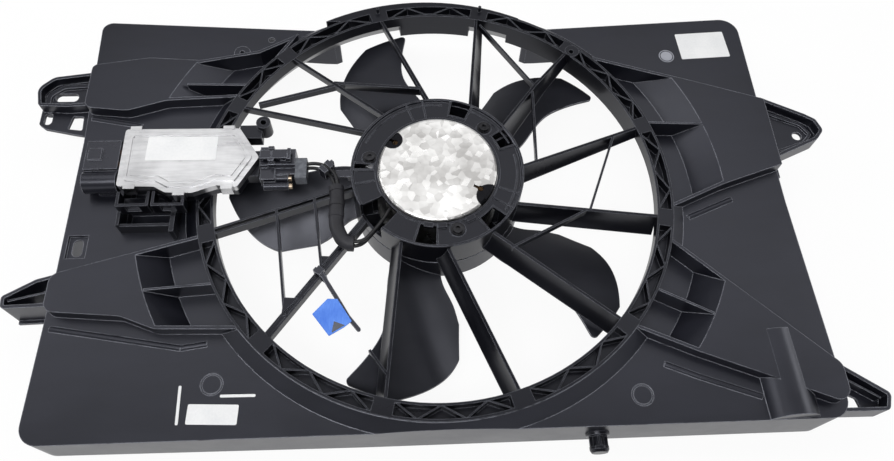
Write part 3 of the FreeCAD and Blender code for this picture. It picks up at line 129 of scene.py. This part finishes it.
class Finish(Graph):
    """The graph of one material, with the patterns that the recipes share."""

    def __init__(self, name, metallic=0.0, specular=0.5, tint=(1.0, 1.0, 1.0)):
        self.material = bpy.data.materials.new(name)
        self.material.use_nodes = True
        super().__init__(self.material.node_tree)
        self.shader = self.tree.nodes["Principled BSDF"]
        self.shader.inputs["Metallic"].default_value = metallic
        self.shader.inputs["Specular IOR Level"].default_value = specular
        self.shader.inputs["Specular Tint"].default_value = (*tint, 1.0)
        self.place = self.node("ShaderNodeTexCoord", output="Object")

    def stretched(self, scale):
        """Object coordinates scaled along each axis, for marks that run one way."""
        return self.node("ShaderNodeMapping", {"Vector": self.place, "Scale": scale})

    def noise(self, scale, detail=3.0, rough=0.55, place=None):
        sockets = {"Vector": place or self.place, "Scale": scale, "Detail": detail, "Roughness": rough}
        return self.node("ShaderNodeTexNoise", sockets)

    def cells(self, scale, output):
        return self.node("ShaderNodeTexVoronoi", {"Vector": self.place, "Scale": scale}, output)

    def near(self, point, radius):
        """1 inside a ball round the point and 0 outside it."""
        reach = self.node("ShaderNodeVectorMath", {0: self.place, 1: point}, "Value", operation="DISTANCE")
        return 1.0 - reach.above(radius, SOFT_RIM)

    def highlight_edges(self, size):
        """1 along sharp edges, where a rounded normal leaves the flat one; it places the painted edge
        highlights.
        """
        rounded = self.node("ShaderNodeBevel", {"Radius": size}, samples=BEVEL_SAMPLES)
        flat = self.node("ShaderNodeNewGeometry", output="Normal")
        agree = self.node("ShaderNodeVectorMath", {0: rounded, 1: flat}, "Value", operation="DOT_PRODUCT")
        return (1.0 - agree).above(level=0.05, width=0.1)

    def use(self, name, value):
        """Link a value to one of the shader's inputs."""
        self.tree.links.new(value.socket, self.shader.inputs[name])

    def relief(self, height, depth, round_edges=0.0):
        """Bump the surface by a height pattern, over edges that look rounded."""
        sockets = {"Height": height, "Distance": depth, "Strength": 1.0}
        if round_edges:
            sockets["Normal"] = self.node("ShaderNodeBevel", {"Radius": round_edges}, samples=BEVEL_SAMPLES)
        self.use("Normal", self.node("ShaderNodeBump", sockets))


# %% [markdown]
# ## Black glass-filled plastic
#
# The shroud is one satin black moulding. Its gloss is cloudy where the melt flowed, and it carries
# fine dust. A painted highlight, broken up by the dust noise, lines its thin edges where they catch
# light. The same recipe with other values makes the darker ring and vanes, the fan and the glossy plug.


# %% Plastic recipe
def plastic(name, dark, pale, rough, cloud=0.14, grain=0.03 * MM, specular=0.55, highlight_colour=(0.3, 0.31, 0.35)):
    finish = Finish(name, specular=specular, tint=(0.86, 0.88, 1.0))
    clouds = finish.noise(7.0, detail=4.0)
    flow = finish.noise(1.0, rough=0.6, place=finish.stretched((14.0, 55.0, 14.0)))
    dust = finish.noise(90.0, detail=5.0, rough=0.65)
    tone = (clouds * 0.6 + flow * 0.4).above(0.5, 0.4).blend(dark, pale)
    # Painted highlight: a pale colour along sharp edges, broken up by the dust noise.
    edge_highlight = finish.highlight_edges(1.1 * MM) * dust.above(0.38, 0.3)
    finish.use("Base Color", edge_highlight.blend(tone, highlight_colour))
    finish.use("Roughness", clouds * cloud + flow * 0.1 + dust * 0.06 + rough)
    finish.relief(finish.noise(1400.0, detail=2.0), grain, round_edges=1.2 * MM)
    return finish.material


# %% [markdown]
# ## Metals
#
# Plated and drawn parts share one recipe: fine marks along one direction, a faint stain, and a
# gloss that follows the marks. The motor's closed end is hammered tin: small cells and broad
# creases give it shallow dents that each mirror another part of the studio. Where the mount's two
# clips reach over the rim, the end lies in shade, so a ball mask paints that shade there in near
# black and presses the surface in a little.


# %% Metal recipes
def metal(name, dark, pale, rough, marks_scale=(400.0, 400.0, 30.0), depth=0.02 * MM):
    finish = Finish(name, metallic=1.0)
    marks = finish.noise(1.0, rough=0.6, place=finish.stretched(marks_scale))
    stain = finish.noise(30.0, detail=4.0)
    finish.use("Base Color", (marks * 0.5 + stain * 0.5).above(0.5, 0.4).blend(dark, pale))
    finish.use("Roughness", marks * 0.2 + rough)
    finish.relief(marks, depth, round_edges=0.4 * MM)
    return finish.material


def hammered(name, bright, dull, shadow, shadow_balls):
    finish = Finish(name, metallic=1.0)
    dents = finish.cells(170.0, "Distance")
    facets = finish.cells(170.0, "Color")
    creases = finish.noise(26.0, detail=4.0, rough=0.6)
    zones = finish.noise(13.0, detail=2.0)
    tone = (facets * 0.3 + creases * 0.5 + zones * 0.7).above(0.73, 0.5).blend(bright, dull)
    # Painted shade: near black inside the two balls where the clips leave the rim in shade.
    shaded = finish.near(*shadow_balls[0]) + finish.near(*shadow_balls[1])
    finish.use("Base Color", shaded.blend(tone, shadow))
    finish.use("Roughness", facets * 0.12 + creases * 0.2 + 0.14)
    height = dents * 0.35 + facets * 0.1 + creases * 0.9 - shaded * 0.8
    finish.relief(height, 0.7 * MM, round_edges=0.6 * MM)
    return finish.material


def wound_wire(name, dark, pale):
    finish = Finish(name, metallic=1.0)
    sockets = {"Vector": finish.place, "Scale": 180.0, "Distortion": 0.6}
    turns = finish.node("ShaderNodeTexWave", sockets, "Fac")
    finish.use("Base Color", turns.blend(dark, pale))
    finish.use("Roughness", turns * 0.1 + 0.3)
    finish.relief(turns, 0.3 * MM)
    return finish.material


# %% [markdown]
# ## Rubber, cloth tape and paper
#
# Soft parts are matt, with a grain that is a little deeper than the plastic's. Tape shows its
# weave, and the blank stickers are smooth paper, a little greyer in places.


# %% Soft finishes
def rubber(name, dark, pale, rough):
    finish = Finish(name, specular=0.35)
    grain = finish.noise(240.0)
    finish.use("Base Color", grain.above(0.5, 0.4).blend(dark, pale))
    finish.use("Roughness", grain * 0.15 + rough)
    finish.relief(grain, 0.08 * MM)
    return finish.material


def tape(name, dark, pale):
    finish = Finish(name, specular=0.4)
    weave = finish.noise(1.0, detail=2.0, rough=0.5, place=finish.stretched((900.0, 260.0, 900.0)))
    fade = finish.noise(60.0)
    finish.use("Base Color", (fade * 0.7 + weave * 0.3).above(0.5, 0.5).blend(dark, pale))
    finish.use("Roughness", weave * 0.2 + 0.45)
    finish.relief(weave, 0.06 * MM)
    return finish.material


def paper(name, dark, pale, rough=0.45):
    finish = Finish(name, specular=0.4)
    fibre = finish.noise(500.0)
    shade = finish.noise(25.0, detail=2.0)
    finish.use("Base Color", (shade * 0.7 + fibre * 0.3).above(0.5, 0.5).blend(dark, pale))
    finish.use("Roughness", fibre * 0.1 + rough)
    finish.relief(fibre, 0.01 * MM)
    return finish.material


# %% [markdown]
# ## The finishes of this fan
#
# Each line gives a recipe its dark and pale colour and its gloss. The ring, vanes and motor mount
# are darker and glossier than the flat panel.

# %% Make the plastics
materials_before = len(bpy.data.materials)
shroud = plastic("shroud_satin", (0.0045, 0.0048, 0.0075), (0.0105, 0.011, 0.0165), 0.2)
ring_black = plastic("ring_polished", (0.003, 0.003, 0.0045), (0.0065, 0.0068, 0.0095), 0.16,
                     cloud=0.12, specular=0.34, highlight_colour=(0.13, 0.135, 0.155))
fan_black = plastic("fan_satin", (0.0055, 0.0058, 0.008), (0.012, 0.0125, 0.017), 0.2,
                    cloud=0.18, specular=0.45)
gloss = plastic("gloss_moulding", (0.007, 0.007, 0.01), (0.014, 0.0145, 0.02), 0.14,
                cloud=0.1, grain=0.01 * MM)
print("plastics:", len(bpy.data.materials) - materials_before)

# %% Make the metals
materials_before = len(bpy.data.materials)
steel = metal("zinc_plate", (0.5, 0.5, 0.51), (0.78, 0.78, 0.79), 0.22)
black_steel = metal("blackened_steel", (0.02, 0.02, 0.022), (0.06, 0.06, 0.065), 0.3)
ground_steel = metal("ground_steel", (0.5, 0.5, 0.5), (0.7, 0.7, 0.7), 0.18,
                     marks_scale=(30.0, 30.0, 900.0))
cover_metal = metal("stamped_aluminium", (0.4, 0.4, 0.41), (0.68, 0.68, 0.69), 0.2,
                    marks_scale=(25.0, 220.0, 40.0), depth=0.04 * MM)
brass = metal("barrel_brass", (0.28, 0.22, 0.16), (0.55, 0.45, 0.34), 0.25)
# Balls, each a place and a radius, inside which painted shade darkens the motor's end.
CLIP_SHADE_BALLS = [((-0.0392, 0.0296, 0.09), 0.009), ((0.0435, -0.0295, 0.09), 0.0115)]
motor_tin = hammered("hammered_tin", (0.8, 0.795, 0.785), (0.42, 0.41, 0.4), (0.012, 0.012, 0.014),
                     CLIP_SHADE_BALLS)
ferrite = metal("ferrite", (0.05, 0.05, 0.055), (0.1, 0.1, 0.1), 0.5)
bronze = metal("bronze", (0.4, 0.28, 0.14), (0.6, 0.45, 0.25), 0.35)
copper = metal("copper", (0.6, 0.3, 0.17), (0.85, 0.5, 0.32), 0.22)
windings = wound_wire("enamelled_wire", (0.3, 0.09, 0.03), (0.75, 0.34, 0.16))
print("metals:", len(bpy.data.materials) - materials_before)

# %% Make the soft finishes
materials_before = len(bpy.data.materials)
board_green = rubber("board", (0.03, 0.12, 0.05), (0.06, 0.2, 0.09), 0.35)
card_brown = rubber("brush_card", (0.16, 0.09, 0.04), (0.24, 0.14, 0.07), 0.5)
carbon = rubber("carbon", (0.02, 0.02, 0.022), (0.05, 0.05, 0.05), 0.4)
soft_black = rubber("soft_black", (0.01, 0.01, 0.012), (0.024, 0.024, 0.028), 0.5)
seal_grey = rubber("seal_grey", (0.08, 0.085, 0.1), (0.14, 0.15, 0.17), 0.4)
lead_black = rubber("lead_black", (0.01, 0.01, 0.011), (0.022, 0.022, 0.024), 0.28)
cloth_tape = tape("sleeve_tape", (0.009, 0.009, 0.012), (0.024, 0.024, 0.03))
blue_tape = tape("blue_tape", (0.05, 0.17, 0.68), (0.12, 0.29, 0.85))
label_white = paper("label_white", (0.72, 0.73, 0.74), (0.86, 0.86, 0.86))
ink_grey = paper("ink_grey", (0.28, 0.29, 0.33), (0.4, 0.41, 0.46), 0.35)
clear_film = paper("clear_film", (0.04, 0.045, 0.06), (0.1, 0.11, 0.14), 0.12)
print("soft finishes:", len(bpy.data.materials) - materials_before)

# %% [markdown]
# ## Which node wears which finish
#
# Every node gets its finish here, the hidden parts of the motor and the module too.

# %% Dress the nodes
LOOKS = {
    shroud: ["shroud_panel", "ear_upper_left", "ear_lower_left", "ear_upper_right", "ear_lower_right"],
    ring_black: ["fan_ring", "stator_vanes", "motor_mount_ring", "locating_peg",
                 "module_carrier", "module_base"],
    fan_black: ["impeller"],
    gloss: ["power_inlet", "motor_plug", "plug_latch", "plug_lock", "harness_clip", "cable_tie",
            "capacitors", "power_transistors"],
    steel: ["motor_bracket", "motor_end_plate", "drive_plate"],
    black_steel: ["motor_screws"],
    ground_steel: ["motor_shaft", "armature_core", "shaft_circlip", "balance_clip", "brush_springs"],
    cover_metal: ["module_cover"],
    motor_tin: ["motor_can"],
    ferrite: ["motor_magnets"],
    bronze: ["rear_bearing", "front_bearing"],
    copper: ["commutator", "inlet_blades"],
    brass: ["plug_barrel_ends"],
    windings: ["armature_windings"],
    board_green: ["circuit_board"],
    card_brown: ["brush_card"],
    carbon: ["carbon_brushes"],
    soft_black: ["module_gasket"],
    seal_grey: ["plug_seal"],
    lead_black: ["lead_positive", "lead_negative"],
    cloth_tape: ["lead_sleeve"],
    blue_tape: ["identification_tag"],
}
for material, names in LOOKS.items():
    for name in names:
        for holder in nodes[name].material_slots:
            holder.material = material
print("nodes dressed:", sum(len(names) for names in LOOKS.values()))

# %% [markdown]
# ## Blank stickers and paint strokes
#
# The real shroud carries paper stickers and a few strokes of marking paint. They are made as
# blank plates: a plane at the sticker's size and turn, its corners rounded with a vertex bevel,
# and a little thickness from Solidify. A plane is enough, because the face below is flat.


# %% Helpers for small pieces
def begin(name, place, turn=0.0):
    """Name the piece that was just added, and set its place and its turn in degrees."""
    piece = bpy.context.object
    piece.name = name
    piece.data.name = name
    piece.location = place
    piece.rotation_euler[2] = math.radians(turn)
    return piece


def round_corners(radius, segments):
    """Round the corners of the flat piece that was just added."""
    bpy.ops.object.mode_set(mode="EDIT")
    bpy.ops.mesh.select_all(action="SELECT")
    bpy.ops.mesh.bevel(offset=radius, segments=segments, affect="VERTICES")
    bpy.ops.object.mode_set(mode="OBJECT")


def settle(piece, material, thickness):
    """Bake the place into the mesh, thicken it, and let it ride on the shroud."""
    bpy.ops.object.transform_apply(location=True, rotation=True, scale=True)
    shell = piece.modifiers.new("thickness", "SOLIDIFY")
    shell.thickness = thickness
    shell.offset = 1.0
    bpy.ops.object.modifier_apply(modifier=shell.name)
    piece.data.materials.clear()
    piece.data.materials.append(material)
    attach(piece, "housing")


def plate(name, centre, size, turn, corner, thickness):
    """Thin white plate with rounded corners, lying on a flat face."""
    bpy.ops.mesh.primitive_plane_add(size=1.0)
    piece = begin(name, centre, turn)
    piece.scale = (size[0], size[1], 1.0)
    bpy.ops.object.transform_apply(location=False, rotation=False, scale=True)
    round_corners(corner, segments=4)
    settle(piece, label_white, thickness)


# %% Stickers on the panel and the module cover
PANEL_Z = 50.0 * MM
COVER_Z = 83.9 * MM
STICKER_CORNER = 1.2 * MM
STICKER_THICKNESS = 0.18 * MM
STICKERS = [
    ("cover_label", (-0.2248, 0.0286, COVER_Z), (0.061, 0.0245), -0.6),
    ("near_sticker", (-0.1842, -0.1992, PANEL_Z), (0.040, 0.016), -2.6),
    ("far_sticker", (0.2810, 0.1670, PANEL_Z), (0.051, 0.033), 3.4),
]
for name, centre, size, turn in STICKERS:
    plate(name, centre, size, turn, STICKER_CORNER, STICKER_THICKNESS)
print("stickers:", len(STICKERS))

# %% Strokes of paint on the panel, each from its start to its end
STROKES = [((-0.2118, -0.1752), (-0.2112, -0.2066)), ((-0.1795, -0.1847), (-0.1514, -0.1851))]
STROKE_WIDTH = 2.3 * MM
STROKE_CORNER = 0.9 * MM
PAINT_THICKNESS = 0.14 * MM
for number, (start, end) in enumerate(STROKES):
    run = Vector(end) - Vector(start)
    middle = (Vector(start) + Vector(end)) / 2
    turn = math.degrees(math.atan2(run.y, run.x))
    plate("paint_stroke_%d" % number, (middle.x, middle.y, PANEL_Z), (run.length, STROKE_WIDTH), turn,
          STROKE_CORNER, PAINT_THICKNESS)
print("paint strokes:", len(STROKES))

# %% [markdown]
# ## Round inspection mark
#
# Beside the far sticker is a round printed mark. Its drawing is left out, and a plain grey disc
# inside a thin ring keeps its place.

# %% Inspection mark, with each disc's radius and, for the ring, its width
MARK_AT = (0.2410, 0.1534, PANEL_Z)
MARK_DISCS = [("mark_ring", 7.8 * MM, 0.8 * MM), ("mark_dot", 6.0 * MM, None)]
INK_THICKNESS = 0.12 * MM
for name, radius, ring_width in MARK_DISCS:
    bpy.ops.mesh.primitive_circle_add(vertices=40, radius=radius, fill_type="NGON")
    mark = begin(name, MARK_AT)
    if ring_width:
        bpy.ops.object.mode_set(mode="EDIT")
        bpy.ops.mesh.select_all(action="SELECT")
        bpy.ops.mesh.inset(thickness=ring_width)
        bpy.ops.mesh.delete(type="ONLY_FACE")
        bpy.ops.object.mode_set(mode="OBJECT")
    settle(mark, ink_grey, INK_THICKNESS)
print("mark's discs:", len(MARK_DISCS))

# %% [markdown]
# ## Film corner on the blue flag
#
# One corner of the flag on the cable tie shows its backing film. A three-sided circle, scaled and
# turned, is the quickest way to a small triangle, which then gets rounded corners and thickness.
# An even triangle's height is its side times the square root of 0.75, so the scale starts there.

# %% Film corner
FLAG_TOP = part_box("identification_tag")[1].z
FILM_AT = (-0.0858, -0.1372, FLAG_TOP)
FILM_TURN = 29.5
FILM_BASE = 12.2 * MM
FILM_HEIGHT = 7.6 * MM
FILM_CORNER = 0.5 * MM
FILM_THICKNESS = 0.15 * MM
bpy.ops.mesh.primitive_circle_add(vertices=3, radius=FILM_BASE / math.sqrt(3.0), fill_type="NGON")
film = begin("film_corner", FILM_AT, FILM_TURN)
film.scale = (1.0, FILM_HEIGHT / (FILM_BASE * math.sqrt(0.75)), 1.0)
bpy.ops.object.transform_apply(location=False, rotation=False, scale=True)
round_corners(FILM_CORNER, segments=3)
settle(film, clear_film, FILM_THICKNESS)
print("film corner at", [round(value, 4) for value in FILM_AT])

# %% [markdown]
# ## Tape turns on the lead's sleeve
#
# The sleeve over the motor lead is held by turns of cloth tape. Each turn is a short open
# cylinder, thickened outwards, a hair wider than the sleeve and square to its run.

# %% Tape turns, each with its centre in millimetres and the sleeve's direction there
SLEEVE_R = 6.2 * MM
TURN_GAP = 0.08 * MM
TURN_WIDTH = 5.2 * MM
TURN_THICKNESS = 0.4 * MM
SMOOTH_BELOW = math.radians(40.0)
TURNS = [
    ((-88.3, -15.5, 81.1), (0.11, -0.99, 0.04)),
    ((-87.6, -29.5, 81.4), (-0.03, -1.0, 0.0)),
    ((-87.9, -40.0, 81.2), (-0.06, -1.0, -0.02)),
    ((-75.2, -66.9, 79.85), (1.0, -0.07, -0.03)),
]
for number, (centre, heading) in enumerate(TURNS):
    bpy.ops.mesh.primitive_cylinder_add(vertices=40, radius=SLEEVE_R + TURN_GAP, depth=TURN_WIDTH,
                                        end_fill_type="NOTHING")
    tape_turn = begin("tape_turn_%d" % number, Vector(centre) * MM)
    tape_turn.rotation_euler = Vector(heading).to_track_quat("Z", "Y").to_euler()
    settle(tape_turn, cloth_tape, TURN_THICKNESS)
    bpy.ops.object.shade_smooth_by_angle(angle=SMOOTH_BELOW)
print("tape turns:", len(TURNS))

# %% [markdown]
# ## Floor
#
# The photo's background is white. The floor is almost plain white light for the camera's own rays
# and for rays from a glossy or a clear surface. The rest is its diffuse part, which keeps a faint
# shadow.

# %% Floor
FLOOR_SIZE = 60.0
FLOOR_Z = -0.5 * MM
FLOOR_COLOUR = (0.93, 0.93, 0.93)
WHITE_SHARE = 0.93
floor = Finish("pale_floor", specular=0.1)
floor.shader.inputs["Base Color"].default_value = (*FLOOR_COLOUR, 1.0)
floor.shader.inputs["Roughness"].default_value = 0.9
camera_ray = floor.node("ShaderNodeLightPath", output="Is Camera Ray")
glossy_ray = floor.node("ShaderNodeLightPath", output="Is Glossy Ray")
through_ray = floor.node("ShaderNodeLightPath", output="Is Transmission Ray")
white = (camera_ray + glossy_ray + through_ray) * WHITE_SHARE
glow = floor.node("ShaderNodeEmission", {"Color": (1.0, 1.0, 1.0), "Strength": 1.0})
diffuse = Sock(floor, floor.shader.outputs[0])
mixed = floor.node("ShaderNodeMixShader", {0: white, 1: diffuse, 2: glow})
floor.tree.links.new(mixed.socket, floor.tree.nodes["Material Output"].inputs["Surface"])
bpy.ops.mesh.primitive_plane_add(size=FLOOR_SIZE, location=(0.0, 0.0, FLOOR_Z))
ground = bpy.context.object
ground.name = "floor"
ground.data.materials.append(floor.material)
print("floor:", FLOOR_SIZE, "m wide")

# %% [markdown]
# ## Light
#
# Black plastic shows mostly what it mirrors. A large soft panel stands where the flat shroud
# mirrors it to the camera and gives the even sheen. The sky is white near the horizon, as a
# studio's paper sweep is, and dim above, so pockets stay dark while upright edges get light lines.
# A lamp on the camera's side and two at the ends light stickers, metal and slopes.

# %% Sky
SWEEP_TOP = 0.22
SWEEP_BLUR = 0.1
DIM_SKY = 0.12
SKY_COLOUR = (0.97, 0.98, 1.0)
scene = bpy.context.scene
scene.view_settings.view_transform = "Standard"
scene.world = bpy.data.worlds.new("studio")
scene.world.use_nodes = True
sky = Graph(scene.world.node_tree)
direction = sky.node("ShaderNodeTexCoord", output="Generated")
height = sky.node("ShaderNodeSeparateXYZ", {0: direction}, "Z")
strength = 1.0 - height.above(SWEEP_TOP, SWEEP_BLUR) * (1.0 - DIM_SKY)
background = sky.tree.nodes["Background"]
background.inputs["Color"].default_value = (*SKY_COLOUR, 1.0)
sky.tree.links.new(strength.socket, background.inputs["Strength"])
print("sky:", DIM_SKY, "of the horizon's strength overhead")


# %% Lamps, each with its place, size, power and aim
def panel_light(name, place, size, power, aim=(0.0, 0.0, 0.05)):
    """Flat lamp that faces the point it is aimed at."""
    bpy.ops.object.light_add(type="AREA", location=place)
    lamp = bpy.context.object
    lamp.name = name
    lamp.data.shape = "RECTANGLE"
    lamp.data.size, lamp.data.size_y = size
    lamp.data.energy = power
    lamp.rotation_euler = (Vector(aim) - Vector(place)).to_track_quat("-Z", "Y").to_euler()


panel_light("top_panel", (0.03, 0.82, 1.5), (2.3, 1.35), 13.0, aim=(0.03, 0.8, 0.0))
panel_light("near_panel", (-0.35, -0.8, 1.5), (1.2, 0.45), 16.0)
panel_light("left_panel", (-1.75, 0.45, 1.15), (0.8, 0.9), 9.0)
panel_light("right_panel", (1.75, 0.35, 1.1), (0.8, 0.8), 8.0)

# %% [markdown]
# ## Camera
#
# The view comes from a fit to the ring, the motor and the panel's edges: a little left of the
# axis, looking down at 63 degrees, and rolled by a few degrees. The picture's right stays level
# before the roll, and the line of sight is made square to it.

# %% Camera
F_PX = 749.38
WIDTH_PX = 894.0
SENSOR_WIDTH = 36.0
CAMERA_AT = (-0.0230, -0.3456, 0.6463)
SIGHT = (0.045, 0.454, -0.890)
AZIMUTH = math.radians(5.72)
ROLL = math.radians(3.75)
NEAREST = 10.0 * MM
side = Vector((math.cos(AZIMUTH), -math.sin(AZIMUTH), 0.0))
look = Vector(SIGHT).normalized()
look = (look - side * look.dot(side)).normalized()
lift = side.cross(look)
right = side * math.cos(ROLL) + lift * math.sin(ROLL)
up = lift * math.cos(ROLL) - side * math.sin(ROLL)
bpy.ops.object.camera_add(location=CAMERA_AT)
camera = bpy.context.object
turned = Matrix((right, up, -look)).transposed().to_4x4()
camera.matrix_world = Matrix.Translation(camera.location) @ turned
camera.data.sensor_fit = "HORIZONTAL"
camera.data.sensor_width = SENSOR_WIDTH
camera.data.lens = F_PX / WIDTH_PX * SENSOR_WIDTH
camera.data.clip_start = NEAREST
scene.camera = camera
print("camera's lens:", round(camera.data.lens, 2), "mm")
